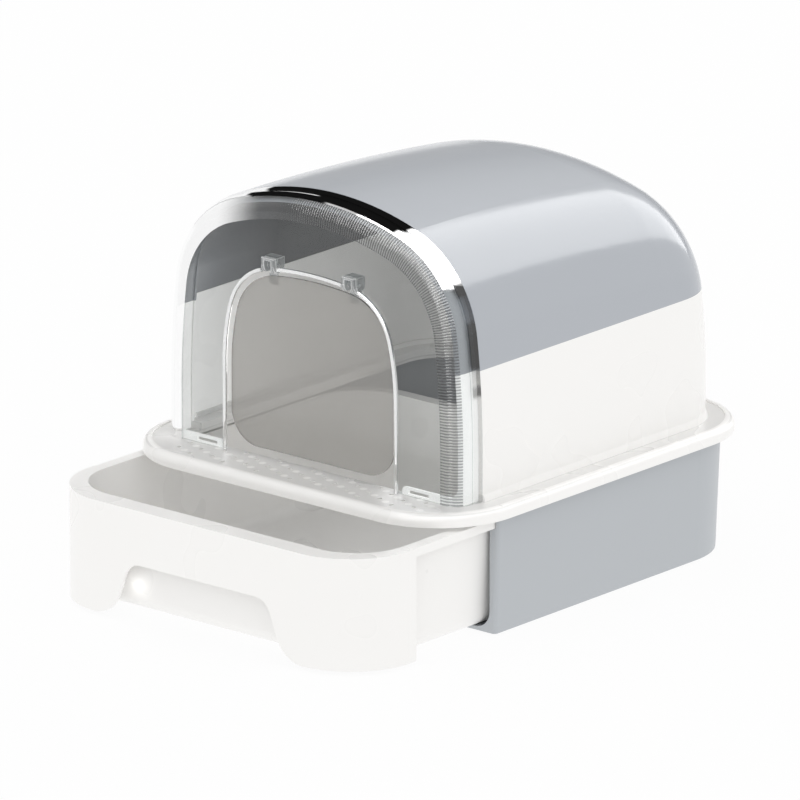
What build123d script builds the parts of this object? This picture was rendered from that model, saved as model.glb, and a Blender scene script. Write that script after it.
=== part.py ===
from build123d import *
import math
import os

# Drawer litter box with an arched hood, in millimetres.
# X runs across the box, -Y is the door side, +Z is up. The drawer stands part way out.
# The values of y below count from the middle of the deck. Every piece is written moved
# by centre_shift, which puts the origin on the floor under the middle of the whole.

# ---- Fits -------------------------------------------------------------------
hair_gap = 0.3          # between mouldings that sit on or in each other
slide_gap = 1.0         # between the drawer and what it runs in
hinge_gap = 0.08        # between a hinge pin and the eye that turns on it
skin = 2.5              # wall of the opaque mouldings
clear_skin = 2.2        # wall of the clear cover

# ---- Base -------------------------------------------------------------------
base_width = 399.0      # outside, at the floor
base_front_y = -154.7
base_back_y = 226.5
base_corner = 79.5
base_draft = 2.1        # degrees, opening upwards
base_wall = 3.0
base_floor = 3.5
base_frame_width = 10.5   # the upright bands beside the drawer's mouth
base_frame_depth = 3.0
base_edge = 4.0           # rounding of the upright front edges
mouth_corner = 18.0
rail_height = 2.5
rail_end_y = 150.0
pad_diameter = 22.0
pad_height = 3.0
pad_socket = 2.0
pad_x = 150.0
pad_front_y = -120.0
pad_back_y = 170.0

# ---- Drawer -----------------------------------------------------------------
drawer_out = 115.1      # how far it stands open
drawer_front_y = -352.0
drawer_width = 401.0
drawer_rim_z = 114.5
drawer_rim = 13.5       # rim beside the tub
drawer_front_rim = 21.7
drawer_corner = 72.0
drawer_back_corner = 70.0
drawer_back_gap = 4.3   # closed, to the back wall of the base
drawer_wall = 2.5
drawer_draft = 3.0      # degrees
tub_bottom_radius = 12.0
panel_floor_gap = 4.0
lip_height = 8.8
lip_inset = 1.3
grip_width = 170.0      # the cut-out under the panel, at its top
grip_foot_width = 214.0
grip_top_z = 60.5
grip_corner = 18.0
grip_foot_radius = 34.0

# ---- Deck -------------------------------------------------------------------
deck_width = 430.0
deck_length = 481.0
deck_corner = 88.0
deck_skirt_z = 118.5
deck_top_z = 131.0
deck_plate = 3.0
deck_edge_radius = 8.0
deck_rim = 9.0          # raised rim round the top
deck_sink = 1.5         # the top lies this much below the rim
deck_rib = 2.0
deck_rib_depth = 6.0
plinth_height = 7.0     # raised seat of the hood
plinth_draft = 20.0
guide_height = 4.5      # rib that keeps the hood in place
hole_pitch = 21.0       # drain holes in the step
hole_row = 17.0
hole_diameter = 5.0
hole_columns = 7        # each side of the middle
first_hole_y = -185.0

# ---- Arches: the hood and the door -------------------------------------------
hood_half_width = 186.1
hood_spring_z = 176.4
hood_top_z = 398.0
hood_crown_radius = 323.8
hood_corner_radius = 110.7
hood_side_radius = 917.9

door_half_width = 108.9
door_spring_z = 217.2
door_top_z = 325.5
door_crown_radius = 367.2
door_corner_radius = 62.6
door_side_radius = 236.2

# ---- Hood -------------------------------------------------------------------
hood_front_y = -157.0
hood_back_y = 217.6
hood_plan_radius = 66.0      # corners seen from above
hood_drop = 72.0             # how far the top falls in its back curve
hood_drop_length = 105.0     # over this length
hood_sag_radius = 2600.0     # the long curve of the top
hood_end_angle = 80.0        # where the back curve runs out in a flat
split_z = 257.5              # joint of the white and the grey shell
tongue_height = 4.0
collar_width = 9.0           # inward flange at the hood's front
neck_inset = 5.0             # the neck inside the cover
neck_gap = 1.2               # behind the cover's plate
neck_band = 9.4              # from the hood's outline to the neck's front edge
neck_edge_radius = 8.0
sill_end_x = 112.0           # the neck's sills stop at the door
sill_height = 8.0
slot_width = 25.0
slot_x = 132.0
slot_height = 3.6
slot_z = 133.2

# ---- Cover ------------------------------------------------------------------
cover_front_y = -190.0
cover_inset = 1.6
cover_round = 18.5
bead_width = 9.7
door_bead = 4.2
door_bead_rise = 1.5

# ---- Clips and flap ----------------------------------------------------------
clip_x = 50.0
clip_width = 16.0
clip_top_z = 331.3
clip_height = 14.8
clip_front_y = -193.3
clip_back_y = -177.0
clip_groove = 1.4
clip_slot = 8.4
clip_roof = 2.4
clip_foot_radius = 8.0    # the underside is round about the pin
pin_y = -185.0
pin_z = 323.5
pin_diameter = 3.0
eye_diameter = 7.0
flap_thickness = 2.0
flap_gap = 7.4           # inside the outer line of the door
flap_drop = 2.2          # lower still at its top, to turn past the door's edge
flap_bottom_z = 139.5
flap_corner = 33.0
tongue_width = 10.5
tongue_thick = 1.5
tongue_bottom_z = 304.0

far = 900.0              # longer than anything here

# Levels and lines that follow from the values above.
pad_proud = pad_height - pad_socket
floor_top_z = pad_proud + base_floor
deck_floor_z = deck_top_z - deck_sink
base_top_z = deck_floor_z - deck_plate
hood_foot_z = deck_floor_z + plinth_height
rim_half = drawer_width / 2 - lip_inset
tub_half = drawer_width / 2 - drawer_rim
lip_bottom_z = drawer_rim_z - lip_height
rail_top_z = lip_bottom_z - hair_gap
mouth_half = base_width / 2 + (rail_top_z - pad_proud) * math.tan(math.radians(base_draft))
mouth_half -= base_frame_width
tub_bottom_z = floor_top_z + slide_gap
panel_back_y = base_front_y - drawer_out - hair_gap
drawer_back_y = base_back_y - base_wall - drawer_back_gap - drawer_out
tub_front_y = drawer_front_y + drawer_front_rim
tub_back_y = drawer_back_y - drawer_rim
cover_back_y = hood_front_y - hair_gap
cover_foot_z = deck_floor_z + hair_gap
centre_shift = -(drawer_front_y + deck_length / 2) / 2


# ---- Shapes used by more than one piece ---------------------------------------
def block(x0, x1, y0, y1, z0, z1):
    """A plain block between two corners."""
    middle = ((x0 + x1) / 2, (y0 + y1) / 2, (z0 + z1) / 2)
    return Pos(*middle) * Box(abs(x1 - x0), abs(y1 - y0), abs(z1 - z0))


def plan(half_width, y0, y1, z, front_radius, back_radius):
    """A face seen from above, with its own radius at the front and back corners."""
    w = half_width
    f = max(front_radius, 0.01)
    b = max(back_radius, 0.01)
    k = math.sqrt(0.5)
    corners = [
        (Vector(-w, y0 + f, z), Vector(-w + f * (1 - k), y0 + f * (1 - k), z), Vector(-w + f, y0, z)),
        (Vector(w - f, y0, z), Vector(w - f * (1 - k), y0 + f * (1 - k), z), Vector(w, y0 + f, z)),
        (Vector(w, y1 - b, z), Vector(w - b * (1 - k), y1 - b * (1 - k), z), Vector(w - b, y1, z)),
        (Vector(-w + b, y1, z), Vector(-w + b * (1 - k), y1 - b * (1 - k), z), Vector(-w, y1 - b, z)),
    ]
    edges = []
    for i, (start, middle, end) in enumerate(corners):
        edges.append(Edge.make_three_point_arc(start, middle, end))
        edges.append(Edge.make_line(end, corners[(i + 1) % 4][0]))
    return Face(Wire(edges))


class Arch:
    """A flat-footed arch of a crown, two corners and two sides, all tangent arcs."""

    def __init__(self, half_width, spring_z, top_z, crown, corner, side):
        self.sizes = (half_width, spring_z, top_z, crown, corner, side)

    def inset(self, d):
        """The arch that lies d inside this one all the way round."""
        half_width, spring_z, top_z, crown, corner, side = self.sizes
        return Arch(half_width - d, spring_z, top_z - d, crown - d, corner - d, side - d)

    def scaled(self, across, up, foot_z):
        """The arch drawn narrower and lower over the same foot line."""
        half_width, spring_z, top_z, crown, corner, side = self.sizes
        return Arch(
            half_width * across,
            foot_z + (spring_z - foot_z) * up,
            foot_z + (top_z - foot_z) * up,
            crown * across * across / up,
            corner * math.sqrt(across * up),
            side * up * up / across,
        )

    def face(self, y, foot_z):
        half_width, spring_z, top_z, crown, corner, side = self.sizes
        crown_z = top_z - crown
        side_x = half_width - side
        to_crown = crown - corner
        to_side = side - corner
        span = math.hypot(side_x, spring_z - crown_z)
        along = (to_crown ** 2 - to_side ** 2 + span ** 2) / (2 * span)
        off = math.sqrt(to_crown ** 2 - along ** 2)
        ux = side_x / span
        uz = (spring_z - crown_z) / span
        centres = []
        for sign in (1, -1):
            centres.append((ux * along - sign * uz * off, crown_z + uz * along + sign * ux * off))
        cx, cz = max(centres)
        crown_angle = math.atan2(cz - crown_z, cx)
        side_angle = math.atan2(cz - spring_z, cx - side_x)

        def on(centre_x, centre_z, radius, angle, mirror):
            x = centre_x + radius * math.cos(angle)
            return Vector(-x if mirror else x, y, centre_z + radius * math.sin(angle))

        def bend(centre_x, centre_z, radius, a0, a1, mirror):
            points = [on(centre_x, centre_z, radius, a, mirror) for a in (a0, (a0 + a1) / 2, a1)]
            return Edge.make_three_point_arc(*points)

        edges = [
            Edge.make_line(Vector(-half_width, y, foot_z), Vector(half_width, y, foot_z)),
            Edge.make_line(Vector(half_width, y, foot_z), Vector(half_width, y, spring_z)),
            bend(side_x, spring_z, side, 0, side_angle, False),
            bend(cx, cz, corner, side_angle, crown_angle, False),
            bend(0, crown_z, crown, crown_angle, math.pi - crown_angle, False),
            bend(cx, cz, corner, crown_angle, side_angle, True),
            bend(side_x, spring_z, side, side_angle, 0, True),
            Edge.make_line(Vector(-half_width, y, spring_z), Vector(-half_width, y, foot_z)),
        ]
        return Face(Wire(edges))

    def prism(self, y0, y1, foot_z):
        """The arch as a solid between two planes across the box."""
        return extrude(self.face(y0, foot_z), amount=y1 - y0, dir=(0, 1, 0))


hood_arch = Arch(hood_half_width, hood_spring_z, hood_top_z,
                 hood_crown_radius, hood_corner_radius, hood_side_radius)
door_arch = Arch(door_half_width, door_spring_z, door_top_z,
                 door_crown_radius, door_corner_radius, door_side_radius)


# ---- Base ---------------------------------------------------------------------
def base_body(inset, front_y, front_radius, z0, z1):
    """The base's outline between two levels, wider towards the top."""
    levels = []
    for z in (z0, z1):
        grown = (z - pad_proud) * math.tan(math.radians(base_draft)) - inset
        levels.append(plan(base_width / 2 + grown, front_y, base_back_y + grown, z,
                           front_radius, base_corner + grown))
    return loft(levels, ruled=True)


def base_housing():
    outer = base_body(0, base_front_y, base_edge, pad_proud, base_top_z)
    inner = base_body(base_wall, base_front_y - 50, 1, floor_top_z, base_top_z + 10)
    shell = outer - inner
    frame = outer & block(-far, far, base_front_y, base_front_y + base_frame_depth, 0, far)
    mouth = block(-mouth_half, mouth_half, base_front_y - 5, base_front_y + 10,
                  floor_top_z, far)
    mouth = fillet(mouth.edges().filter_by(Axis.Y).group_by(Axis.Z)[0], mouth_corner)
    channel = block(-rim_half - slide_gap, rim_half + slide_gap, base_front_y - 5,
                    base_front_y + 10, rail_top_z, far)
    frame = frame - mouth - channel
    rails = outer & block(-far, far, base_front_y, rail_end_y, rail_top_z - rail_height, rail_top_z)
    rails = rails - block(-mouth_half, mouth_half, -far, far, 0, far)
    housing = shell + frame + rails
    for x in (-pad_x, pad_x):
        for y in (pad_front_y, pad_back_y):
            socket = Cylinder(pad_diameter / 2 + hair_gap, pad_socket,
                              align=(Align.CENTER, Align.CENTER, Align.MIN))
            housing = housing - Pos(x, y, pad_proud) * socket
    return housing


def foot_pads():
    pads = []
    for x in (-pad_x, pad_x):
        for y in (pad_front_y, pad_back_y):
            pad = Cylinder(pad_diameter / 2, pad_height,
                           align=(Align.CENTER, Align.CENTER, Align.MIN))
            pad = chamfer(pad.edges().group_by(Axis.Z)[0], 0.6)
            pads.append(Pos(x, y, 0) * pad)
    return Compound(pads)


# ---- Drawer -------------------------------------------------------------------
def drawer():
    half = drawer_width / 2
    back = drawer_back_y
    panel_outline = plan(half, drawer_front_y, back, panel_floor_gap, drawer_corner, 5)
    panel_inside = plan(half - drawer_wall, drawer_front_y + drawer_wall, back, panel_floor_gap,
                        drawer_corner - drawer_wall, 5)
    panel = extrude(panel_outline, amount=drawer_rim_z - panel_floor_gap)
    panel = panel - extrude(panel_inside, amount=drawer_rim_z - drawer_wall - panel_floor_gap)
    panel = panel - block(-far, far, panel_back_y, far, -10, far)

    rim_outline = plan(rim_half, drawer_front_y + 30, back, lip_bottom_z, 5, drawer_back_corner)
    rim_inside = plan(rim_half - drawer_wall, drawer_front_y + 20, back - drawer_wall,
                      lip_bottom_z, 5, drawer_back_corner - drawer_wall)
    rim = extrude(rim_outline, amount=lip_height)
    rim = rim - extrude(rim_inside, amount=lip_height - drawer_wall)
    rim = rim - block(-far, far, -far, panel_back_y, -10, far)

    tub_radius = drawer_corner - drawer_wall - drawer_rim
    tub_back_radius = drawer_back_corner - drawer_rim
    tub_top = plan(tub_half + drawer_wall, tub_front_y - drawer_wall, tub_back_y + drawer_wall,
                   drawer_rim_z, tub_radius + drawer_wall, tub_back_radius + drawer_wall)
    tub = extrude(tub_top, amount=drawer_rim_z - tub_bottom_z, dir=(0, 0, -1), taper=drawer_draft)
    tub = fillet(tub.edges().group_by(Axis.Z)[0], tub_bottom_radius + drawer_wall)
    hollow_top = plan(tub_half, tub_front_y, tub_back_y, drawer_rim_z,
                      tub_radius, tub_back_radius)
    hollow = extrude(hollow_top, amount=drawer_rim_z - tub_bottom_z - drawer_wall,
                     dir=(0, 0, -1), taper=drawer_draft)
    hollow = fillet(hollow.edges().group_by(Axis.Z)[0], tub_bottom_radius)

    return panel - grip_cut() + rim + tub - hollow


def grip_cut():
    """The opening under the front panel: fingers reach behind the panel's edge."""
    top = grip_width / 2
    foot = grip_foot_width / 2
    wide = foot + 2 * grip_foot_radius
    y = drawer_front_y - 5
    half = [(wide, 0), (wide, panel_floor_gap), (foot, panel_floor_gap), (top, grip_top_z)]
    points = half + [(-x, z) for x, z in reversed(half)]
    face = make_face(Polyline(*[(x, y, z) for x, z in points], close=True))
    cut = extrude(face, amount=5 + drawer_wall + 2, dir=(0, 1, 0))
    corners = cut.edges().filter_by(Axis.Y)
    cut = fillet(corners.group_by(Axis.Z)[-1], grip_corner)
    feet = [e for e in cut.edges().filter_by(Axis.Y)
            if abs(abs(e.center().X) - foot) < 0.01 and abs(e.center().Z - panel_floor_gap) < 0.01]
    return fillet(feet, grip_foot_radius)


# ---- Deck ---------------------------------------------------------------------
def deck_frame():
    half = deck_width / 2
    end = deck_length / 2
    outline = plan(half, -end, end, deck_skirt_z, deck_corner, deck_corner)
    slab = extrude(outline, amount=deck_top_z - deck_skirt_z)
    slab = fillet(slab.edges().group_by(Axis.Z)[-1], deck_edge_radius)
    under = plan(half - deck_plate, -end + deck_plate, end - deck_plate, deck_skirt_z,
                 deck_corner - deck_plate, deck_corner - deck_plate)
    under = extrude(under, amount=base_top_z - deck_skirt_z)
    under = fillet(under.edges().group_by(Axis.Z)[-1], deck_edge_radius - deck_plate)
    sunk = plan(half - deck_rim, -end + deck_rim, end - deck_rim, deck_floor_z,
                deck_corner - deck_rim, deck_corner - deck_rim)
    sunk = extrude(sunk, amount=deck_sink + 1)
    frame = slab - under - sunk

    spread = plinth_height * math.tan(math.radians(plinth_draft))
    foot = plan(hood_half_width + spread, hood_front_y - 20, hood_back_y + spread, deck_floor_z,
                5, hood_plan_radius + spread)
    plinth = extrude(foot, amount=plinth_height, taper=plinth_draft)
    plinth = plinth - block(-far, far, -far, hood_front_y, 0, far)
    guide_out = hood_half_width - skin - hair_gap
    guide = plan(guide_out, hood_front_y - 20, hood_back_y - skin - hair_gap, hood_foot_z,
                 5, hood_plan_radius - skin - hair_gap)
    guide = extrude(guide, amount=guide_height)
    guide = guide & block(-far, far, hood_front_y + 12, hood_end(skin) - hair_gap, 0, far)
    frame = frame + plinth + guide

    opening = plan(guide_out - 17.2, -180, hood_back_y - 21, deck_skirt_z - 5, 20, 48)
    frame = frame - extrude(opening, amount=60)
    guide_in = plan(guide_out - deck_rib, -far, hood_end(skin) - hair_gap - deck_rib,
                    hood_foot_z, 5, hood_plan_radius - skin - hair_gap - deck_rib)
    frame = frame - extrude(guide_in, amount=60)

    grown = (base_top_z - pad_proud) * math.tan(math.radians(base_draft))
    locate = base_width / 2 + grown - base_wall - 2 * hair_gap
    locate_back = base_back_y + grown - base_wall - 2 * hair_gap
    corner = base_corner + grown - base_wall - 2 * hair_gap
    level = base_top_z - deck_rib_depth
    rib = extrude(plan(locate, base_front_y, locate_back, level, 5, corner),
                  amount=deck_rib_depth)
    rib = rib - extrude(plan(locate - deck_rib, -far, locate_back - deck_rib, level,
                             5, corner - deck_rib), amount=deck_rib_depth)
    frame = frame + rib

    holes = []
    for column in range(-hole_columns, hole_columns + 1):
        even = column % 2 == 0
        rows = 3 if even else 2
        for row in range(rows):
            y = first_hole_y - row * hole_row - (0 if even else hole_row / 2)
            hole = Cylinder(hole_diameter / 2, 20)
            holes.append(Pos(column * hole_pitch, y, deck_floor_z) * hole)
    return frame - holes


# ---- Hood ---------------------------------------------------------------------
def hood_end(inset):
    """Where the hood's back curve runs out in a flat."""
    reach = (hood_drop_length - inset) * (1 - math.sin(math.radians(hood_end_angle)))
    return hood_back_y - inset - reach


def hood_form(inset):
    """The hood as one solid: an arch that falls away and draws in at the back."""
    arch = hood_arch.inset(inset)
    back = hood_back_y - inset
    plan_radius = hood_plan_radius - inset
    drop = hood_drop - inset
    length = hood_drop_length - inset
    foot = hood_foot_z
    top = hood_top_z - inset
    shoulder = back - length
    front_stations = [hood_front_y + (shoulder - hood_front_y) * i / 3 for i in range(4)]
    steps = 7
    back_stations = []
    for i in range(steps + 1):
        angle = math.radians(hood_end_angle * i / steps)
        back_stations.append(shoulder + length * math.sin(angle))

    def section(y):
        fall = (y - hood_front_y) ** 2 / (2 * hood_sag_radius)
        if y > shoulder:
            fall += drop * (1 - math.sqrt(1 - ((y - shoulder) / length) ** 2))
        draw_in = 0
        if y > back - plan_radius:
            t = y - (back - plan_radius)
            draw_in = plan_radius - math.sqrt(plan_radius ** 2 - t ** 2)
        across = 1 - draw_in / (hood_half_width - inset)
        up = 1 - fall / (top - foot)
        return arch.scaled(across, up, foot).face(y, foot)

    front = loft([section(y) for y in front_stations])
    rear = loft([section(y) for y in back_stations])
    return front + rear


def dome(inset, y0, y1, rounding):
    """The arch drawn out from y1 to y0, with the front edge rounded over."""
    body = hood_arch.inset(inset).prism(y0, y1, cover_foot_z)
    front = body.faces().sort_by(Axis.Y)[0]
    rim = [e for e in front.edges() if e.center().Z > cover_foot_z + 1]
    return fillet(rim, rounding)


def neck(z0, z1):
    """Part of the neck inside the cover, which turns into a low sill at its feet."""
    reach = cover_front_y + clear_skin + neck_gap
    rounding = cover_round + cover_inset - neck_inset
    shell = dome(neck_inset, reach, hood_front_y, rounding)
    shell = shell - dome(neck_inset + skin, reach + skin, hood_front_y + 1, rounding - skin)
    shell = shell & block(-far, far, -far, far, z0, z1)
    window = hood_arch.inset(neck_band).prism(-far, hood_front_y - 14, cover_foot_z + sill_height)
    feet = [e for e in window.edges().filter_by(Axis.Y).group_by(Axis.Z)[0]]
    shell = shell - fillet(feet, neck_edge_radius)
    if z1 > split_z:
        return shell
    shell = shell - block(-sill_end_x, sill_end_x, -far, hood_front_y - 10, 0, far)
    tips = [e for e in shell.edges().filter_by(Axis.Y)
            if abs(abs(e.center().X) - sill_end_x) < 0.01 and e.center().Z > cover_foot_z + 1]
    shell = fillet(tips, sill_height * 0.55)
    for side in (-1, 1):
        x = side * slot_x
        shell = shell - block(x - slot_width / 2, x + slot_width / 2, -far, hood_front_y - 10,
                              slot_z - slot_height / 2, slot_z + slot_height / 2)
    return shell


def collar(z0, z1):
    """The inward flange that closes the end of the hood's wall."""
    ring = hood_arch.inset(skin / 2).prism(hood_front_y, hood_front_y + skin, hood_foot_z)
    ring = ring - hood_arch.inset(collar_width).prism(hood_front_y - 1, hood_front_y + 9, 0)
    return ring & block(-far, far, -far, far, z0, z1)


def hood_lower(outer, middle, inner):
    shell = outer - inner
    low = shell & block(-far, far, -far, far, hood_foot_z, split_z)
    tongue = (middle - inner) & block(-far, far, hood_front_y + 10, far,
                                      split_z, split_z + tongue_height)
    return low + collar(hood_foot_z, split_z) + tongue + neck(0, split_z)


def hood_upper(outer, middle_wide, inner):
    shell = outer - inner
    high = shell & block(-far, far, -far, far, split_z, far)
    rebate = middle_wide & block(-far, far, hood_front_y + 9, far,
                                 split_z, split_z + tongue_height + hair_gap)
    high = high - rebate
    return high + collar(split_z, far) + neck(split_z, far)


# ---- Cover --------------------------------------------------------------------
def front_cover():
    cover = dome(cover_inset, cover_front_y, cover_back_y, cover_round)
    cover = cover - dome(cover_inset + clear_skin, cover_front_y + clear_skin, cover_back_y,
                         cover_round - clear_skin)
    bead = hood_arch.prism(cover_back_y - bead_width, cover_back_y, cover_foot_z)
    bead = bead - hood_arch.inset(neck_inset - hair_gap).prism(-far, 0, 0)
    outside = hood_arch.face(cover_back_y - bead_width, cover_foot_z).edges()
    lengths = [e.length for e in outside if e.center().Z > cover_foot_z + 1]
    brow = [e for e in bead.faces().sort_by(Axis.Y)[0].edges()
            if any(abs(e.length - length) < 0.01 for length in lengths)]
    cover = cover + fillet(brow, 1.2)

    cover = cover - door_arch.inset(door_bead).prism(-far, 0, 0)
    rim = door_arch.prism(cover_front_y - door_bead_rise, cover_front_y + clear_skin,
                          cover_foot_z)
    rim = rim - door_arch.inset(door_bead).prism(-far, 0, 0)
    front = rim.faces().sort_by(Axis.Y)[0]
    cover = cover + fillet([e for e in front.edges() if e.center().Z > cover_foot_z + 1], 1.0)

    groove = clip_groove - hair_gap
    for side in (-1, 1):
        x0 = side * clip_x - clip_width / 2
        x1 = side * clip_x + clip_width / 2
        z1 = clip_top_z
        cover = cover - block(x0 + groove, x1 - groove, cover_front_y - 5, cover_front_y + 6,
                              clip_top_z - clip_height - 8, z1 - groove)
        cover = cover - block(x0 - hair_gap, x1 + hair_gap, cover_front_y - 5, cover_front_y,
                              clip_top_z - clip_height - 8, z1 + hair_gap)
    tab_half = slot_width / 2 - 1
    for side in (-1, 1):
        x = side * slot_x
        cover = cover + block(x - tab_half, x + tab_half, cover_front_y + clear_skin - 0.5,
                              cover_front_y + 9, slot_z - 1.2, slot_z + 1.2)
    return cover


# ---- Clips, pins and flap -------------------------------------------------------
def hinge_clip(side):
    half = clip_width / 2
    z0 = clip_top_z - clip_height
    waist = block(-half + clip_groove, half - clip_groove, clip_front_y, clip_back_y,
                  z0, clip_top_z - clip_groove)
    front = block(-half, half, clip_front_y, cover_front_y - 0.1, z0, clip_top_z)
    front = fillet(front.edges().filter_by(Axis.Z).group_by(Axis.Y)[0], 1.2)
    back = block(-half, half, cover_front_y + clear_skin + 0.1, clip_back_y, z0, clip_top_z)
    clip = front + waist + back
    round_foot = Pos(0, pin_y, pin_z) * Rot(0, 90, 0) * Cylinder(clip_foot_radius, 40)
    clip = clip & (round_foot + block(-far, far, -far, far, pin_z, far))
    clip = clip - block(-clip_slot / 2, clip_slot / 2, -far, 0, 0, clip_top_z - clip_roof)
    bore = Pos(0, pin_y, pin_z) * Rot(0, 90, 0) * Cylinder(pin_diameter / 2 + 0.05, 40)
    return Pos(side * clip_x, 0, 0) * (clip - bore)


def hinge_pin(side):
    pin = Rot(0, 90, 0) * Cylinder(pin_diameter / 2, clip_width - 0.6)
    pin = chamfer(pin.edges().filter_by(GeomType.CIRCLE), 0.3)
    return Pos(side * clip_x, pin_y, pin_z) * pin


def flap_door():
    y0 = pin_y - flap_thickness / 2
    y1 = pin_y + flap_thickness / 2
    arch = door_arch.inset(flap_gap)
    half_width, spring_z, top_z, crown, corner, side = arch.sizes
    lowered = Arch(half_width, spring_z - flap_drop, top_z - flap_drop, crown, corner, side)
    plate = lowered.prism(y0, y1, flap_bottom_z)
    feet = plate.edges().filter_by(Axis.Y).group_by(Axis.Z)[0]
    return fillet(feet, flap_corner)


def flap_hanger(side):
    """The eye on the pin and the tongue that is bonded behind the flap."""
    y0 = pin_y + flap_thickness / 2
    y1 = y0 + tongue_thick
    eye_width = clip_slot - 2 * 0.4
    eye = Rot(0, 90, 0) * Cylinder(eye_diameter / 2, eye_width)
    stem = block(-eye_width / 2, eye_width / 2, 0, y1 - pin_y, -10, 0)
    stem = stem - block(-far, far, -far, y0 - pin_y, -far, far)
    eye = Pos(0, pin_y, pin_z) * (eye + stem)
    tongue = block(-tongue_width / 2, tongue_width / 2, y0, y1, tongue_bottom_z, pin_z - 9.0)
    hanger = eye + tongue
    bore = Pos(0, pin_y, pin_z) * Rot(0, 90, 0) * Cylinder(pin_diameter / 2 + hinge_gap, 40)
    return Pos(side * clip_x, 0, 0) * (hanger - bore)


def write(shape, node):
    """One file for each piece."""
    export_step(Pos(0, centre_shift, 0) * shape, f"parts/{node}.step")


os.makedirs("parts", exist_ok=True)
hood_outer = hood_form(0)
hood_inner = hood_form(skin)
hood_middle = hood_form(skin / 2 + hair_gap / 2)
hood_middle_wide = hood_form(skin / 2 - hair_gap / 2)

write(base_housing(), "base_housing")
write(foot_pads(), "foot_pads")
write(drawer(), "drawer")
write(deck_frame(), "deck_frame")
write(hood_lower(hood_outer, hood_middle, hood_inner), "hood_lower")
write(hood_upper(hood_outer, hood_middle_wide, hood_inner), "hood_upper")
write(front_cover(), "front_cover")
write(flap_door(), "flap_door")
for side, name in ((-1, "left"), (1, "right")):
    write(hinge_clip(side), f"hinge_clip_{name}")
    write(hinge_pin(side), f"hinge_pin_{name}")
    write(flap_hanger(side), f"flap_hanger_{name}")
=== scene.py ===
import math
import bpy
from mathutils import Matrix, Vector


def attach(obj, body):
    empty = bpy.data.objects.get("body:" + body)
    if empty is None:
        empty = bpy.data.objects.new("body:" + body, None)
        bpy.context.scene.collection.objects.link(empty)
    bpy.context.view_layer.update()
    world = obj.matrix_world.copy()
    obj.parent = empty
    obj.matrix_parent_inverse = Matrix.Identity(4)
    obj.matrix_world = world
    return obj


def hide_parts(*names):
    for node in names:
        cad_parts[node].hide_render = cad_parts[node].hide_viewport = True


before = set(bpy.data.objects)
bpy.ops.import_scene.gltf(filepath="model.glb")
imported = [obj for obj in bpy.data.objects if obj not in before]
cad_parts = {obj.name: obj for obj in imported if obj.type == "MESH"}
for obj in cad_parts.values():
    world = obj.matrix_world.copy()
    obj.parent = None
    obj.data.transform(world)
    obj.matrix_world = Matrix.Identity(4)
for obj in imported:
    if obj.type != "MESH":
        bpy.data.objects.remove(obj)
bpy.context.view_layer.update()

# ---- Camera ---------------------------------------------------------------------
# A long lens 12 m away, 40.4 degrees round to the right and 17.1 degrees up. Lengths in
# this file are real millimetres from the floor under the middle of the deck.
DECK_SHIFT = 55.75       # the deck's middle, behind the middle of the whole, drawer out
AZIMUTH = math.radians(40.4)
ELEVATION = math.radians(17.1)
DISTANCE = 12.011        # metres, as are the next two
SIDE_STEP = -0.03776     # the aim, to the right of the deck's middle
RISE = 0.14922           # and above the floor
LENS = 562.5


def at(x, y, z):
    """A point in the row frame, in metres, from millimetres about the deck's middle."""
    return Vector((x, y + DECK_SHIFT, z)) / 1000


back = Vector((math.sin(AZIMUTH) * math.cos(ELEVATION),
               -math.cos(AZIMUTH) * math.cos(ELEVATION), math.sin(ELEVATION)))
right = Vector((math.cos(AZIMUTH), math.sin(AZIMUTH), 0))
up = back.cross(right)
aim = at(0, 0, 0) + right * SIDE_STEP + up * RISE
camera_data = bpy.data.cameras.new("camera")
camera_data.lens = LENS
camera_data.sensor_width = 36
camera_data.clip_end = 100
camera = bpy.data.objects.new("camera", camera_data)
camera.matrix_world = Matrix.Translation(aim + back * DISTANCE) @ Matrix(
    (right, up, back)).transposed().to_4x4()
bpy.context.scene.collection.objects.link(camera)
bpy.context.scene.camera = camera
bpy.context.scene.view_settings.view_transform = "Standard"


# ---- Studio ---------------------------------------------------------------------
# A white room with a strip light overhead on the right, from front to back. Soft sheens see
# the room dimmer on the left, as the real mouldings do; clear sharp edges see it white.
STRIP_FROM, STRIP_TO, STRIP_STRENGTH = -26, 48, 4.6   # degrees from straight up, to the right
STRIP_SOFT = 0.8
DIM_FROM, DIM_TO, DIM, UNDIMMED = -70, -38, 0.40, 1.1
DIM_END = -144           # below this the room is plain white again


def add(tree, kind, inputs=None, **settings):
    """Adds a shader node; an input is a value or the socket that feeds it."""
    made = tree.nodes.new(kind)
    for key, value in settings.items():
        setattr(made, key, value)
    for key, value in (inputs or {}).items():
        if isinstance(value, bpy.types.NodeSocket):
            tree.links.new(value, made.inputs[key])
        else:
            made.inputs[key].default_value = value
    return made


def between(tree, value, low, high, soft):
    """1 between two values and 0 outside them, with soft ends."""
    rise = add(tree, "ShaderNodeMapRange",
               {"Value": value, "From Min": low - soft, "From Max": low + soft},
               interpolation_type="SMOOTHSTEP").outputs[0]
    fall = add(tree, "ShaderNodeMapRange",
               {"Value": value, "From Min": high - soft, "From Max": high + soft,
                "To Min": 1, "To Max": 0}, interpolation_type="SMOOTHSTEP").outputs[0]
    return add(tree, "ShaderNodeMath", {0: rise, 1: fall}, operation="MULTIPLY").outputs[0]


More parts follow.
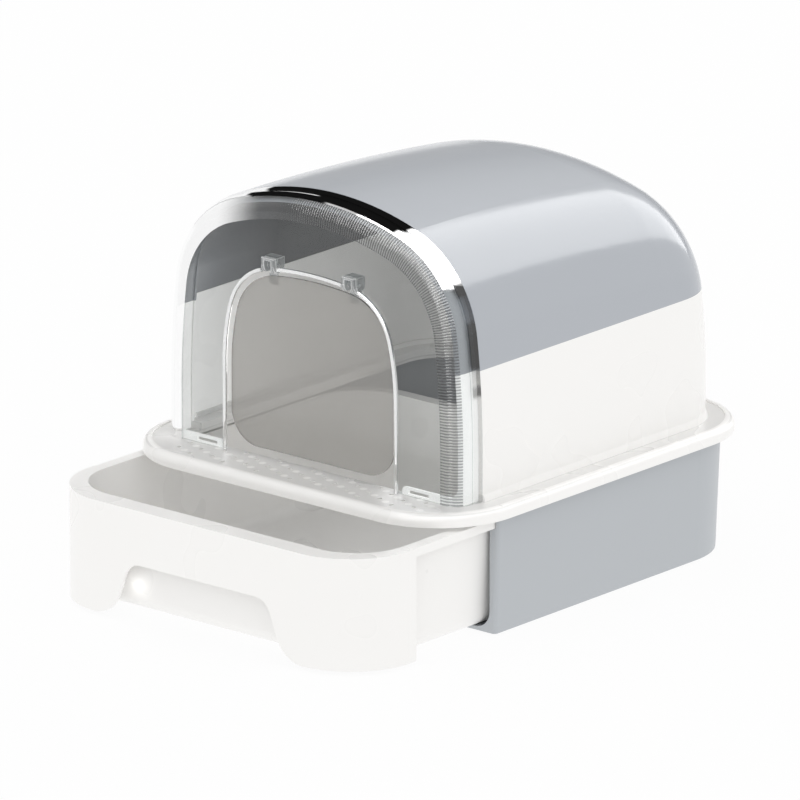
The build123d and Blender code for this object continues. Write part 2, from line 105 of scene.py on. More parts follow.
world = bpy.data.worlds.new("studio")
world.use_nodes = True
bpy.context.scene.world = world
tree = world.node_tree
tree.nodes.clear()
ray = add(tree, "ShaderNodeTexCoord").outputs["Generated"]
way = add(tree, "ShaderNodeSeparateXYZ", {0: ray}).outputs
tilt = add(tree, "ShaderNodeMath", {0: way["X"], 1: way["Z"]}, operation="ARCTAN2").outputs[0]
tilt = add(tree, "ShaderNodeMath", {0: tilt, 1: 180 / math.pi}, operation="MULTIPLY").outputs[0]

strip = between(tree, tilt, STRIP_FROM, STRIP_TO, STRIP_SOFT)
dim = add(tree, "ShaderNodeMapRange", {"Value": tilt, "From Min": DIM_FROM, "From Max": DIM_TO,
                                       "To Min": DIM, "To Max": UNDIMMED}).outputs[0]
dim = add(tree, "ShaderNodeMath", {0: dim, 1: 1}, operation="SUBTRACT").outputs[0]
above = add(tree, "ShaderNodeMath", {0: tilt, 1: DIM_END}, operation="GREATER_THAN").outputs[0]
room = add(tree, "ShaderNodeMath", {0: dim, 1: above, 2: 1}, operation="MULTIPLY_ADD").outputs[0]
room = add(tree, "ShaderNodeMath", {0: strip, 1: STRIP_STRENGTH - 1, 2: room},
           operation="MULTIPLY_ADD").outputs[0]
at_least_white = add(tree, "ShaderNodeMath", {0: room, 1: 1}, operation="MAXIMUM").outputs[0]
path = add(tree, "ShaderNodeLightPath").outputs
room = add(tree, "ShaderNodeMix",
           {0: path["Is Singular Ray"], 2: room, 3: at_least_white}).outputs[0]
glossy = add(tree, "ShaderNodeBackground", {"Color": (1, 1, 1, 1), "Strength": room}).outputs[0]
plain = add(tree, "ShaderNodeBackground", {"Color": (1, 1, 1, 1), "Strength": 1.0}).outputs[0]
lit = add(tree, "ShaderNodeMixShader", {0: path["Is Glossy Ray"], 1: plain, 2: glossy}).outputs[0]
add(tree, "ShaderNodeOutputWorld", {"Surface": lit})

# The floor is white card, bright enough to vanish into the background.
FLOOR_HALF = 6           # metres
FLOOR_DROP = 0.0002      # under the pads, so that the two don't flicker
FLOOR_GLOW = 0.93


def colour(hexcode):
    """An sRGB colour as the linear values that shaders take."""
    parts = [int(hexcode[i:i + 2], 16) / 255 for i in (1, 3, 5)]
    return tuple(p / 12.92 if p <= 0.04045 else ((p + 0.055) / 1.055) ** 2.4 for p in parts) + (1,)


def material(name):
    """An empty material and its tree."""
    made = bpy.data.materials.new(name)
    made.use_nodes = True
    made.node_tree.nodes.clear()
    return made, made.node_tree


card, tree = material("white card floor")
matt = add(tree, "ShaderNodeBsdfDiffuse", {"Color": colour("#F4F4F4")}).outputs[0]
bright = add(tree, "ShaderNodeEmission", {"Color": (1, 1, 1, 1), "Strength": 1.0}).outputs[0]
both = add(tree, "ShaderNodeMixShader", {0: FLOOR_GLOW, 1: matt, 2: bright}).outputs[0]
add(tree, "ShaderNodeOutputMaterial", {"Surface": both})
mesh = bpy.data.meshes.new("floor")
mesh.from_pydata([(x * FLOOR_HALF, y * FLOOR_HALF, -FLOOR_DROP)
                  for x, y in ((-1, -1), (1, -1), (1, 1), (-1, 1))], [], [(0, 1, 2, 3)])
mesh.materials.append(card)
floor = bpy.data.objects.new("floor", mesh)
bpy.context.scene.collection.objects.link(floor)

# Three soft lamps inside give back the light that bounces about between white walls.
for name, place, radius, power in (("cabin fill", (0, 0, 200), 60, 0.32),
                                   ("drawer fill", (0, -120, 60), 60, 0.02),
                                   ("grip fill", (-96, -338, 30), 8, 0.003)):
    lamp_data = bpy.data.lights.new(name, "POINT")
    lamp_data.energy = power
    lamp_data.shadow_soft_size = radius / 1000
    lamp_data.specular_factor = 0
    lamp = bpy.data.objects.new(name, lamp_data)
    lamp.location = at(*place)
    bpy.context.scene.collection.objects.link(lamp)


# ---- Base and its pads ------------------------------------------------------------
# The base is one grey polypropylene tub from a matt, spark-eroded mould, which blurs what
# it mirrors. It stands on four pads of dark rubber, pressed into its underside.
PEEL_SCALE = 900         # waves to the metre, about 1 mm each: the mould's faint orange-peel
TONE_SCALE = 14          # and about 70 mm each: the slow drift in tone of a large moulding


def moulded(name, hexcode, roughness, peel=0.02, shade=None, glow=None):
    """An opaque moulding; shade paints shade as a factor of its colour, glow paints light as
    emission.
    """
    made, tree = material(name)
    place = add(tree, "ShaderNodeTexCoord").outputs["Object"]
    fine = add(tree, "ShaderNodeTexNoise",
               {"Vector": place, "Scale": PEEL_SCALE, "Detail": 2}).outputs[0]
    broad = add(tree, "ShaderNodeTexNoise",
                {"Vector": place, "Scale": TONE_SCALE, "Detail": 1}).outputs[0]
    bump = add(tree, "ShaderNodeBump", {"Height": fine, "Strength": peel, "Distance": 0.0004})
    base = colour(hexcode)
    darker = tuple(c * 0.985 for c in base[:3]) + (1,)
    tone = add(tree, "ShaderNodeMix", {0: broad, 6: darker, 7: base}, data_type="RGBA").outputs[2]
    rough = add(tree, "ShaderNodeMath", {0: broad, 1: 0.05, 2: roughness - 0.025},
                operation="MULTIPLY_ADD").outputs[0]
    if shade:
        tone = add(tree, "ShaderNodeVectorMath", {0: tone, "Scale": shade(tree)},
                   operation="SCALE").outputs[0]
    body = add(tree, "ShaderNodeBsdfPrincipled",
               {"Base Color": tone, "Roughness": rough, "IOR": 1.46,
                "Normal": bump.outputs[0], "Emission Color": (1, 1, 1, 1),
                "Emission Strength": glow(tree) if glow else 0})
    add(tree, "ShaderNodeOutputMaterial", {"Surface": body.outputs[0]})
    return made


def paint(made, *nodes):
    """Gives CAD nodes a material."""
    for name in nodes:
        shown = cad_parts[name]
        shown.data.materials.clear()
        shown.data.materials.append(made)


paint(moulded("grey polypropylene, matt", "#B6BABE", 0.42), "base_housing")
paint(moulded("dark grey rubber", "#3A3A3C", 0.7), "foot_pads")


# ---- Drawer -----------------------------------------------------------------------
# The drawer is one white polypropylene tub with its front panel, from a polished mould:
# a soft satin sheen over a warm white.
WHITE, SATIN = "#F7F6F4", 0.28

paint(moulded("white polypropylene", WHITE, SATIN), "drawer")


# ---- Deck -------------------------------------------------------------------------
# The white deck drops to a step before the door, with drain holes and shallow dimples
# between them. The step and its riser get painted shade, greyer than the deck's rim; the
# dimples are pale round marks where that painted shade is left off.
COLUMN, ROW = 21, 17     # the spacing of the holes, across and along
FIRST_ROW = -189.25
DIMPLE_COLUMNS = 7.5
STEP_TOP, STEP_RISER = 129.5, -157
STEP_FRONT = (-233, -226)
STEP_PAINTED_SHADE = 0.18


def where(tree):
    """The X, Y and Z of the point, in metres."""
    place = add(tree, "ShaderNodeNewGeometry").outputs["Position"]
    return add(tree, "ShaderNodeSeparateXYZ", {0: place}).outputs


def painted_step_shade(tree):
    """The painted shade of the deck's step and riser, as the share of colour kept, left off in pale
    round marks for the dimples between its holes.
    """
    place = where(tree)
    x = add(tree, "ShaderNodeMath", {0: place["X"], 1: 1000 / COLUMN, 2: -0.5},
            operation="MULTIPLY_ADD").outputs[0]
    column = add(tree, "ShaderNodeMath", {0: x}, operation="ROUND").outputs[0]
    across = add(tree, "ShaderNodeMath", {0: x, 1: column}, operation="SUBTRACT").outputs[0]
    across = add(tree, "ShaderNodeMath", {0: across, 1: COLUMN}, operation="MULTIPLY").outputs[0]
    odd = add(tree, "ShaderNodeMath", {0: column, 1: 2}, operation="FLOORED_MODULO").outputs[0]
    y = add(tree, "ShaderNodeMath",
            {0: place["Y"], 1: 1000 / ROW, 2: (-FIRST_ROW - DECK_SHIFT) / ROW},
            operation="MULTIPLY_ADD").outputs[0]
    y = add(tree, "ShaderNodeMath", {0: odd, 1: 0.5, 2: y}, operation="MULTIPLY_ADD").outputs[0]
    row = add(tree, "ShaderNodeMath", {0: y}, operation="ROUND").outputs[0]
    along = add(tree, "ShaderNodeMath", {0: y, 1: row}, operation="SUBTRACT").outputs[0]
    along = add(tree, "ShaderNodeMath", {0: along, 1: ROW}, operation="MULTIPLY").outputs[0]
    along = add(tree, "ShaderNodeMath", {0: along, 1: along}, operation="MULTIPLY").outputs[0]
    squared = add(tree, "ShaderNodeMath", {0: across, 1: across, 2: along},
                  operation="MULTIPLY_ADD").outputs[0]
    disc = add(tree, "ShaderNodeMapRange", {"Value": squared, "From Min": 10, "From Max": 16,
                                            "To Min": 1, "To Max": 0}).outputs[0]
    column = add(tree, "ShaderNodeMath", {0: column}, operation="ABSOLUTE").outputs[0]
    within = add(tree, "ShaderNodeMath", {0: column, 1: DIMPLE_COLUMNS},
                 operation="LESS_THAN").outputs[0]
    two_rows = add(tree, "ShaderNodeMath", {0: row, 1: -0.5, 2: 0.6},
                   operation="COMPARE").outputs[0]
    within = add(tree, "ShaderNodeMath", {0: within, 1: two_rows}, operation="MULTIPLY").outputs[0]
    disc = add(tree, "ShaderNodeMath", {0: disc, 1: within}, operation="MULTIPLY").outputs[0]

    # Painted shade over the step's top and its riser, fading in from the front edge.
    level = add(tree, "ShaderNodeMath", {0: place["Z"], 1: STEP_TOP / 1000, 2: 0.0006},
                operation="COMPARE").outputs[0]
    front = add(tree, "ShaderNodeMapRange",
                {"Value": place["Y"], "From Min": (STEP_FRONT[0] + DECK_SHIFT) / 1000,
                 "From Max": (STEP_FRONT[1] + DECK_SHIFT) / 1000}).outputs[0]
    height = add(tree, "ShaderNodeMath", {0: place["Z"], 1: 0.1335, 2: 0.0033},
                 operation="COMPARE").outputs[0]
    riser = add(tree, "ShaderNodeMath",
                {0: place["Y"], 1: (STEP_RISER + DECK_SHIFT) / 1000, 2: 0.001},
                operation="COMPARE").outputs[0]
    riser = add(tree, "ShaderNodeMath", {0: height, 1: riser}, operation="MULTIPLY").outputs[0]
    step = add(tree, "ShaderNodeMath", {0: level, 1: riser}, operation="MAXIMUM").outputs[0]
    step = add(tree, "ShaderNodeMath", {0: step, 1: front}, operation="MULTIPLY").outputs[0]
    # The pale round marks of the dimples are left out of the painted shade.
    bare = add(tree, "ShaderNodeMath", {0: 1, 1: disc}, operation="SUBTRACT").outputs[0]
    grey = add(tree, "ShaderNodeMath", {0: step, 1: bare}, operation="MULTIPLY").outputs[0]
    return add(tree, "ShaderNodeMath", {0: grey, 1: -STEP_PAINTED_SHADE, 2: 1},
               operation="MULTIPLY_ADD").outputs[0]


paint(moulded("white polypropylene, step with painted shade", WHITE, SATIN, shade=painted_step_shade), "deck_frame")


# ---- Lower shell of the hood --------------------------------------------------------
# White polypropylene, snapped to the grey shell above for good. Its neck gets a painted
# glow, emission for the light the clear cover's edge gathers there, and the cabin's inner
# walls a fainter painted glow for the light the white walls bounce to each other.
HOOD_MIDDLE = (0, DECK_SHIFT / 1000, 0.17)
NECK_BACK = -157.5
NECK_PAINTED_GLOW, WALL_PAINTED_GLOW = 0.42, 0.30


def inside(tree):
    """1 on faces that look in towards the middle of the box, and how far down they look."""
    geometry = add(tree, "ShaderNodeNewGeometry").outputs
    place = add(tree, "ShaderNodeVectorMath", {0: geometry["Position"], 1: HOOD_MIDDLE},
                operation="SUBTRACT").outputs[0]
    outwards = add(tree, "ShaderNodeVectorMath", {0: place, 1: geometry["Normal"]},
                   operation="DOT_PRODUCT").outputs["Value"]
    inwards = add(tree, "ShaderNodeMath", {0: outwards, 1: 0}, operation="LESS_THAN").outputs[0]
    up = add(tree, "ShaderNodeSeparateXYZ", {0: geometry["Normal"]}).outputs["Z"]
    down = add(tree, "ShaderNodeMath", {0: up, 1: -1}, operation="MULTIPLY").outputs[0]
    return inwards, down


def painted_glow_behind_cover(tree):
    """Painted glow, as emission strength: full on the neck, and less of it on the inner walls
    behind.
    """
    depth = where(tree)["Y"]
    neck = add(tree, "ShaderNodeMath", {0: depth, 1: (NECK_BACK + DECK_SHIFT) / 1000},
               operation="LESS_THAN").outputs[0]
    neck = add(tree, "ShaderNodeMath", {0: neck, 1: NECK_PAINTED_GLOW}, operation="MULTIPLY").outputs[0]
    wall = add(tree, "ShaderNodeMapRange", {"Value": depth, "From Min": -0.10, "From Max": 0.06,
                                            "To Min": WALL_PAINTED_GLOW, "To Max": 0}).outputs[0]
    wall = add(tree, "ShaderNodeMath", {0: wall, 1: inside(tree)[0]},
               operation="MULTIPLY").outputs[0]
    return add(tree, "ShaderNodeMath", {0: neck, 1: wall}, operation="MAXIMUM").outputs[0]


paint(moulded("white polypropylene, lower hood, painted glow", WHITE, SATIN, glow=painted_glow_behind_cover), "hood_lower")


# ---- Upper shell of the hood --------------------------------------------------------
# Blue-grey polypropylene from a high-gloss mould, which shows the strip light as a soft
# band. Its inner face has painted shade, darker the further it lies back and the more it
# looks down.
DEEP_PAINTED_SHADE, STEEP_PAINTED_SHADE = 0.80, 0.68


def painted_ceiling_shade(tree):
    """Painted shade on the inner faces of the hood, as the share of their colour kept."""
    inwards, down = inside(tree)
    depth = add(tree, "ShaderNodeMapRange",
                {"Value": where(tree)["Y"], "From Min": -0.10, "From Max": 0.02,
                 "To Min": 0.1, "To Max": DEEP_PAINTED_SHADE}).outputs[0]
    normal = add(tree, "ShaderNodeNewGeometry").outputs["Normal"]
    facing = add(tree, "ShaderNodeSeparateXYZ", {0: normal}).outputs["Y"]
    facing = add(tree, "ShaderNodeMath", {0: facing}, operation="ABSOLUTE").outputs[0]
    facing = add(tree, "ShaderNodeMath", {0: facing, 1: 1.5}, operation="MULTIPLY").outputs[0]
    across = add(tree, "ShaderNodeMath", {0: 1, 1: facing}, operation="SUBTRACT",
                 use_clamp=True).outputs[0]
    depth = add(tree, "ShaderNodeMath", {0: depth, 1: across}, operation="MULTIPLY").outputs[0]
    slope = add(tree, "ShaderNodeMapRange", {"Value": down, "From Min": 0.1, "From Max": 0.7,
                                             "To Min": 0, "To Max": STEEP_PAINTED_SHADE}).outputs[0]
    near = add(tree, "ShaderNodeMath", {0: 1, 1: depth}, operation="SUBTRACT").outputs[0]
    level = add(tree, "ShaderNodeMath", {0: 1, 1: slope}, operation="SUBTRACT").outputs[0]
    kept = add(tree, "ShaderNodeMath", {0: near, 1: level}, operation="MULTIPLY").outputs[0]
    lost = add(tree, "ShaderNodeMath", {0: kept, 1: 1}, operation="SUBTRACT").outputs[0]
    return add(tree, "ShaderNodeMath", {0: inwards, 1: lost, 2: 1},
               operation="MULTIPLY_ADD").outputs[0]


paint(moulded("blue-grey polypropylene, painted shade inside", "#B0B4BA", 0.16, shade=painted_ceiling_shade), "hood_upper")


# ---- Cover --------------------------------------------------------------------------
# One moulding of lightly smoked acrylic: a flat plate with the door's opening, a rounding
# that is fluted on its front half and smooth behind, and a thick bead against the hood.
HOOD_ARCH = (186.1, 176.4, 398.0, 323.8, 110.7, 917.9)
DOOR_ARCH = (108.9, 217.2, 325.5, 367.2, 62.6, 236.2)
CROWN_CENTRE = (HOOD_ARCH[2] - HOOD_ARCH[3]) / 1000
COVER_FOOT = 129.8
COVER_FRONT = -190.0
COVER_BACK = -157.3
COVER_THICK = 2.2
COVER_INSET = 1.6
COVER_ROUND = 18.5
BEAD = 9.7
BEAD_IN = 4.7
FLUTE = 2.9              # from one flute to the next
FLUTED_FROM = 33         # degrees round from the flank
FLUTED_FLAT = 4.5        # and this far in on the flat plate
START_FROM = 26          # degrees, where the smooth rounding is not yet a full mirror
ARCH_STEP = 3
# The second tint is painted shade in the flutes; the last colour is a painted black reflection.
CLEAR, FLUTE_PAINTED_SHADE_TINT, PAINTED_REFLECTION_BLACK = "#F0F1F1", "#9FA1A2", "#141414"
# The painted black reflection fades in and out over this many degrees.
PAINTED_REFLECTION_SOFT = 0.7


def clear(tree, tint, gloss, roughness, normal=None):
    """A see-through layer; tint is a colour or a socket, gloss the share that mirrors."""
    through = add(tree, "ShaderNodeBsdfTransparent", {"Color": tint}).outputs[0]
    inputs = {"Color": (1, 1, 1, 1), "Roughness": roughness}
    if normal:
        inputs["Normal"] = normal
    shine = add(tree, "ShaderNodeBsdfAnisotropic", inputs).outputs[0]
    return add(tree, "ShaderNodeMixShader", {0: gloss, 1: through, 2: shine}).outputs[0]


def round_the_arch(tree):
    """Degrees round the hood's arch from its crown, to the right."""
    place = where(tree)
    height = add(tree, "ShaderNodeMath", {0: place["Z"], 1: CROWN_CENTRE},
                 operation="SUBTRACT").outputs[0]
    turn = add(tree, "ShaderNodeMath", {0: place["X"], 1: height}, operation="ARCTAN2").outputs[0]
    return add(tree, "ShaderNodeMath", {0: turn, 1: 180 / math.pi}, operation="MULTIPLY").outputs[0]


def painted_black_reflection(tree, under, painted_black_from, painted_black_to):
    """A painted black reflection: matt black by degrees round the arch, where the edge would mirror
    the dark side of the room.
    """
    dark = add(tree, "ShaderNodeBsdfDiffuse", {"Color": colour(PAINTED_REFLECTION_BLACK)}).outputs[0]
    black = between(tree, round_the_arch(tree), painted_black_from, painted_black_to, PAINTED_REFLECTION_SOFT)
    both = add(tree, "ShaderNodeMixShader", {0: black, 1: under, 2: dark}).outputs[0]
    add(tree, "ShaderNodeOutputMaterial", {"Surface": both})


def ramp_by(tree, value, stops):
    """A colour that runs through the stops, each a place and an sRGB colour."""
    ramp = add(tree, "ShaderNodeValToRGB", {0: value})
    for i, (position, tone) in enumerate(stops):
        stop = ramp.color_ramp.elements[i] if i < 2 else ramp.color_ramp.elements.new(position)
        stop.position = position
        stop.color = colour(tone)
    return ramp.outputs[0]


# The flat plate is seen straight through, so only a faint sheen tells that it is there.
plate, tree = material("smoked acrylic, flat")
skin = clear(tree, colour(CLEAR), 0.04, 0.04)
add(tree, "ShaderNodeOutputMaterial", {"Surface": skin})

# The door's rim is thick and round, so it mirrors far more than the flat plate does.
rod, tree = material("clear acrylic, thick round edge")
skin = clear(tree, colour("#EEEFF0"), 0.72, 0)
add(tree, "ShaderNodeOutputMaterial", {"Surface": skin})

# The fluted band has painted shade in the bottom of each flute, a darker see-through tint,
# which runs out towards the left, where it is seen edge on and only mirrors the white room.
fluted, tree = material("smoked acrylic, fluted")
along = add(tree, "ShaderNodeUVMap").outputs[0]
along = add(tree, "ShaderNodeSeparateXYZ", {0: along}).outputs["X"]
wave = add(tree, "ShaderNodeMath", {0: along, 1: 2 * math.pi * 1000 / FLUTE},
           operation="MULTIPLY").outputs[0]
wave = add(tree, "ShaderNodeMath", {0: wave}, operation="COSINE").outputs[0]
wave = add(tree, "ShaderNodeMath", {0: wave, 1: 0.5, 2: 0.5}, operation="MULTIPLY_ADD").outputs[0]
side = where(tree)["X"]
plain_left = add(tree, "ShaderNodeMapRange", {"Value": side, "From Min": 0.02, "From Max": -0.05},
                 interpolation_type="SMOOTHSTEP").outputs[0]
wave = add(tree, "ShaderNodeMath", {0: wave, 1: plain_left}, operation="MAXIMUM").outputs[0]
tint = add(tree, "ShaderNodeMix", {0: wave, 6: colour(FLUTE_PAINTED_SHADE_TINT), 7: colour(CLEAR)},
           data_type="RGBA").outputs[2]
bump = add(tree, "ShaderNodeBump", {"Height": wave, "Strength": 0.6, "Distance": 0.0005}).outputs[0]
gloss = add(tree, "ShaderNodeMapRange", {"Value": side, "From Min": -0.06, "From Max": -0.12,
                                         "To Min": 0.08, "To Max": 0.9},
            interpolation_type="SMOOTHSTEP").outputs[0]
skin = clear(tree, tint, gloss, 0, bump)
add(tree, "ShaderNodeOutputMaterial", {"Surface": skin})


def smooth_edge(name, top, painted_black_from, painted_black_to):
    """Clear over the flanks, mirror-bright over the top, and a painted black reflection over a band
    of the arch.
    """
    made, tree = material(name)
    gloss = add(tree, "ShaderNodeMapRange",
                {"Value": where(tree)["Z"], "From Min": 0.334, "From Max": 0.342,
                 "To Min": 0.07, "To Max": top}, interpolation_type="SMOOTHSTEP").outputs[0]
    painted_black_reflection(tree, clear(tree, colour("#F4F5F5"), gloss, 0), painted_black_from, painted_black_to)
    return made


# Each rounding gets a painted black reflection between the given degrees round the arch.
shine = smooth_edge("clear acrylic, smooth rounding", 0.92, -16, 17.5)
shine_low = smooth_edge("clear acrylic, start of the rounding", 0.5, -15, 2)
shine_back = smooth_edge("clear acrylic, behind the rounding", 0.92, -1, 18)

# The bead at the back is a thick rod: it mirrors over the top, and down the flank its
# see-through tint has painted dark and light bands by height, standing in for the pieces
# behind it as the rod draws them together, with a painted black reflection as well.
# The stops are halves of a metre.
bead_painted_streaks, tree = material("clear acrylic, thick bead, painted streaks")
height = where(tree)["Z"]
halves = add(tree, "ShaderNodeMath", {0: height, 1: 2}, operation="MULTIPLY").outputs[0]
tint = ramp_by(tree, halves, [
    (0, "#F4F4F4"), (0.464, "#F4F4F4"), (0.470, "#B4B4B3"), (0.484, "#C2C2C2"),
    (0.490, "#E4E4E3"), (0.518, "#DADADA"), (0.524, "#55585B"), (0.606, "#74777A"),
    (0.612, "#C9CCD0"), (0.655, "#B9BDC1"), (0.660, "#2A2B2C"), (0.680, "#2A2B2C"),
    (0.684, "#F0F1F2"), (1, "#F0F1F2")])
gloss = add(tree, "ShaderNodeMapRange",
            {"Value": height, "From Min": 0.338, "From Max": 0.344, "To Min": 0.08, "To Max": 0.8},
            interpolation_type="SMOOTHSTEP").outputs[0]
painted_black_reflection(tree, clear(tree, tint, gloss, 0), -13, 18.5)


def arch_path(half_width, spring, top, crown, corner, side, foot, step):
    """Points round an arch of tangent arcs: (length so far, x, z, normal x, normal z)."""
    crown_z = top - crown
    side_x = half_width - side
    to_crown, to_side = crown - corner, side - corner
    span = math.hypot(side_x, spring - crown_z)
    along = (to_crown ** 2 - to_side ** 2 + span ** 2) / (2 * span)
    off = math.sqrt(to_crown ** 2 - along ** 2)
    ux, uz = side_x / span, (spring - crown_z) / span
    cx, cz = max((ux * along - s * uz * off, crown_z + uz * along + s * ux * off) for s in (1, -1))
    crown_angle = math.atan2(cz - crown_z, cx)
    side_angle = math.atan2(cz - spring, cx - side_x)
    arcs = [(side_x, spring, side, 0, side_angle), (cx, cz, corner, side_angle, crown_angle),
            (0, crown_z, crown, crown_angle, math.pi / 2)]
    half = [(half_width, foot, 1, 0)]
    count = max(1, round((spring - foot) / step))
    half += [(half_width, foot + (spring - foot) * i / count, 1, 0) for i in range(1, count + 1)]
    for centre_x, centre_z, radius, a0, a1 in arcs:
        count = max(2, round(abs(a1 - a0) * radius / step))
        for i in range(1, count + 1):
            a = a0 + (a1 - a0) * i / count
            half.append((centre_x + radius * math.cos(a), centre_z + radius * math.sin(a),
                         math.cos(a), math.sin(a)))
    whole = half + [(-x, z, -nx, nz) for x, z, nx, nz in reversed(half[:-1])]
    length, points = 0, []
    for i, (x, z, nx, nz) in enumerate(whole):
        if i:
            length += math.hypot(x - whole[i - 1][0], z - whole[i - 1][1])
        points.append((length, x, z, nx, nz))
    return points


def sweep(name, route, profile, skins):
    """Draws a closed profile of (inset, y) along an arch; skins names each side's material."""
    points, faces, uvs, slots = [], [], [], []
    n = len(profile)
    for s, x, z, nx, nz in route:
        for inset, y in profile:
            points.append(at(x - inset * nx, y, z - inset * nz))
    used = list(dict.fromkeys(skins))
    for i in range(len(route) - 1):
        for j in range(n):
            k = (j + 1) % n
            faces.append((i * n + j, i * n + k, (i + 1) * n + k, (i + 1) * n + j))
            s0, s1 = route[i][0] / 1000, route[i + 1][0] / 1000
            uvs += [(s0, j / n), (s0, (j + 1) / n), (s1, (j + 1) / n), (s1, j / n)]
            slots.append(used.index(skins[j]))
    faces.append(tuple(range(n)))
    faces.append(tuple(reversed(range((len(route) - 1) * n, len(route) * n))))
    uvs += [(0, 0)] * (2 * n)
    slots += [0, 0]
    mesh = bpy.data.meshes.new(name)
    mesh.from_pydata(points, [], faces)
    for skin in used:
        mesh.materials.append(skin)
    layer = mesh.uv_layers.new(name="UVMap")
    for loop, uv in zip(layer.data, uvs):
        loop.uv = uv
    for face, slot in zip(mesh.polygons, slots):
        face.material_index = slot
        face.use_smooth = True
    mesh.set_sharp_from_angle(angle=math.radians(35))
    made = bpy.data.objects.new(name, mesh)
    bpy.context.scene.collection.objects.link(made)
    return made


def on_cover(piece):
    """Puts a piece on the cover's body, in place of the cover's plain solid."""
    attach(piece, "cover")
    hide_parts("front_cover")


# The rounding, from the flat plate round the edge to the bead, and back along its inside.
route = arch_path(*HOOD_ARCH, COVER_FOOT, ARCH_STEP)
round_inset = COVER_INSET + COVER_ROUND
flat_inset = round_inset + FLUTED_FLAT
centre_y = COVER_FRONT + COVER_ROUND
outside, skins = [(flat_inset, COVER_FRONT)], [fluted]
for i in range(13):
    turned = 90 - 7.5 * i
    a = math.radians(turned)
    outside.append((round_inset - COVER_ROUND * math.cos(a), centre_y - COVER_ROUND * math.sin(a)))
    skins.append(fluted if turned > FLUTED_FROM else shine_low if turned > START_FROM else
                 shine_back if turned == 0 else shine)
outside += [(COVER_INSET, COVER_BACK - BEAD), (0.35, COVER_BACK - BEAD + 0.35),
            (0, COVER_BACK - BEAD + 1.2), (0, COVER_BACK)]
skins += [bead_painted_streaks] * 4
inner = [(BEAD_IN, COVER_BACK), (BEAD_IN, COVER_BACK - BEAD), (3.8, COVER_BACK - BEAD)]
for i in range(9):
    a = math.radians(11.25 * i)
    r = COVER_ROUND - COVER_THICK
    inner.append((round_inset - r * math.cos(a), centre_y - r * math.sin(a)))
inner.append((flat_inset, COVER_FRONT + COVER_THICK))
skins += [plate] * len(inner)
on_cover(sweep("cover_rounding", route, outside + inner, skins))

# The plate, cut out for the door. Its opening runs straight across behind each clip.
CLIP_X, CLIP_HALF, CLIP_TOP, CLIP_ABOVE = 50, 8.3, 331.6, 280
DOOR_INSET = 2


def at_clip(x, z):
    return abs(abs(x) - CLIP_X) < CLIP_HALF and z > CLIP_ABOVE


door_route = arch_path(*DOOR_ARCH, COVER_FOOT, ARCH_STEP)
outer_edge = [(x - flat_inset * nx, z - flat_inset * nz) for s, x, z, nx, nz in route]
inner_edge = []
for s, x, z, nx, nz in door_route:
    x, z = x - DOOR_INSET * nx, z - DOOR_INSET * nz
    inner_edge.append((x, CLIP_TOP if at_clip(x, z) else z))
outline = outer_edge + list(reversed(inner_edge))
n = len(outline)
points = [at(x, COVER_FRONT, z) for x, z in outline]
points += [at(x, COVER_FRONT + COVER_THICK, z) for x, z in outline]
faces = [tuple(reversed(range(n))), tuple(range(n, 2 * n))]
for i in range(len(outer_edge), n - 1):
    faces.append((i, i + 1, n + i + 1, n + i))
mesh = bpy.data.meshes.new("cover_plate")
mesh.from_pydata(points, [], faces)
mesh.materials.append(plate)
cover_plate = bpy.data.objects.new("cover_plate", mesh)
bpy.context.scene.collection.objects.link(cover_plate)
on_cover(cover_plate)

# The door's rim, a round-edged bead that stops at each clip.
RIM_WIDE, RIM_DEEP, RIM_Y, RIM_SQUARE = 2.1, 1.85, -189.65, 0.7


def squared_off(value):
    """Keeps the sign and pulls the circle out towards a square."""
    return math.copysign(abs(value) ** RIM_SQUARE, value)


section = []
for i in range(12):
    a = 2 * math.pi * i / 12
    section.append((RIM_WIDE - RIM_WIDE * squared_off(math.cos(a)),
                    RIM_Y - RIM_DEEP * squared_off(math.sin(a))))
runs = [[]]
for point in door_route:
    if at_clip(point[1], point[2]):
        if runs[-1]:
            runs.append([])
    else:
        runs[-1].append(point)
for i, run in enumerate(runs):
    on_cover(sweep(f"door_rim_{i}", run, section, [rod] * len(section)))


# ---- Clips, pins and hangers --------------------------------------------------------
# Two clips of thick clear polycarbonate snap on the plate over the door and carry acetal
# pins. The flap's hangers turn on them. Their edges get painted light: a painted white
# highlight on each edge and painted dark bands just inside it; the flats stay clear.
clip_skin_painted_edges, tree = material("clear polycarbonate, thick, painted edge light")
soft = add(tree, "ShaderNodeBevel", {"Radius": 0.0022}, samples=4).outputs[0]
true = add(tree, "ShaderNodeNewGeometry").outputs["Normal"]
flat = add(tree, "ShaderNodeVectorMath", {0: soft, 1: true},
           operation="DOT_PRODUCT").outputs["Value"]
edge = add(tree, "ShaderNodeMath", {0: 1, 1: flat}, operation="SUBTRACT").outputs[0]
edge = add(tree, "ShaderNodeMath", {0: edge, 1: 4}, operation="MULTIPLY", use_clamp=True).outputs[0]
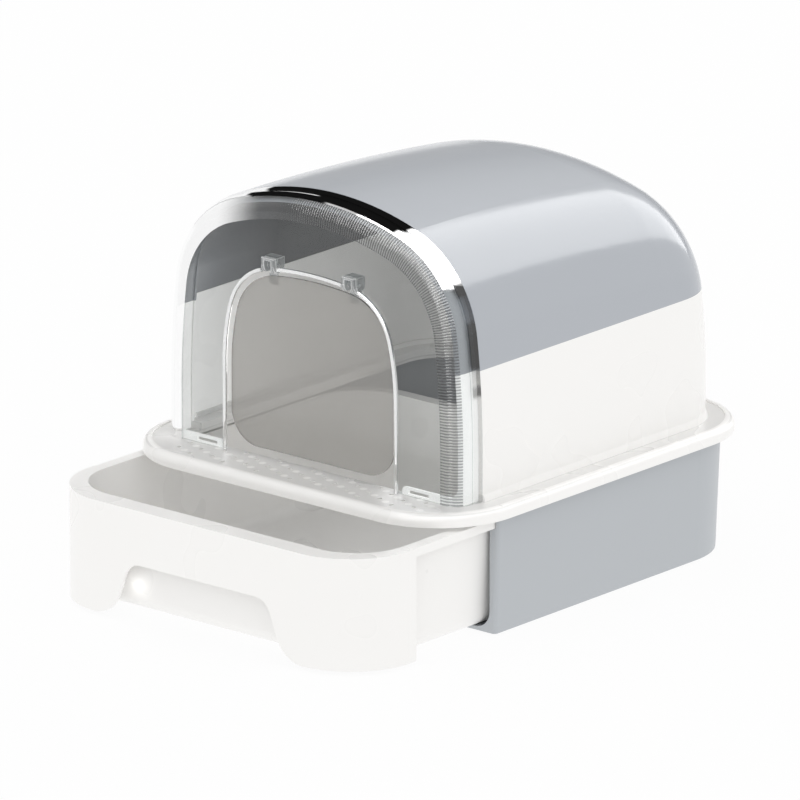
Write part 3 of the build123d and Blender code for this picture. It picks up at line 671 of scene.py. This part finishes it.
# Painted light: dark bands just inside each edge, and a white highlight on it.
tone = ramp_by(tree, edge, [(0, "#C4C6C7"), (0.2, "#6E7071"), (0.45, "#55585A"), (0.7, "#FFFFFF")])
pale = add(tree, "ShaderNodeBsdfDiffuse", {"Color": tone}).outputs[0]
body = clear(tree, colour("#EDEFEF"), 0.12, 0.03)
lit_edge = add(tree, "ShaderNodeMapRange", {"Value": edge, "From Min": 0.05, "From Max": 0.5,
                                            "To Min": 0.35, "To Max": 0.95}).outputs[0]
skin = add(tree, "ShaderNodeMixShader", {0: lit_edge, 1: body, 2: pale}).outputs[0]
add(tree, "ShaderNodeOutputMaterial", {"Surface": skin})
paint(clip_skin_painted_edges, "hinge_clip_left", "hinge_clip_right", "flap_hanger_left", "flap_hanger_right")
paint(moulded("pale grey acetal", "#D2D5D8", 0.3), "hinge_pin_left", "hinge_pin_right")


# ---- Flap ---------------------------------------------------------------------------
# A plain plate of smoked acrylic, hung from the pins, with polished edges. Its fine haze
# greys what is seen through it, and its edges read darker.
HAZE = 0.42

flap_skin, tree = material("smoked acrylic, flap")
normal = add(tree, "ShaderNodeNewGeometry").outputs["Normal"]
facing = add(tree, "ShaderNodeSeparateXYZ", {0: normal}).outputs["Y"]
facing = add(tree, "ShaderNodeMath", {0: facing}, operation="ABSOLUTE").outputs[0]
rim = add(tree, "ShaderNodeMath", {0: 1, 1: facing}, operation="SUBTRACT",
          use_clamp=True).outputs[0]
tint = add(tree, "ShaderNodeMix", {0: rim, 6: colour("#F4F4F3"), 7: colour("#8F9192")},
           data_type="RGBA").outputs[2]
gloss = add(tree, "ShaderNodeMath", {0: rim, 1: 0.3, 2: 0.05}, operation="MULTIPLY_ADD").outputs[0]
skin = clear(tree, tint, gloss, 0.05)
haze = add(tree, "ShaderNodeBsdfDiffuse", {"Color": colour("#B0AEAA")}).outputs[0]
skin = add(tree, "ShaderNodeMixShader", {0: HAZE, 1: skin, 2: haze}).outputs[0]
add(tree, "ShaderNodeOutputMaterial", {"Surface": skin})
paint(flap_skin, "flap_door")
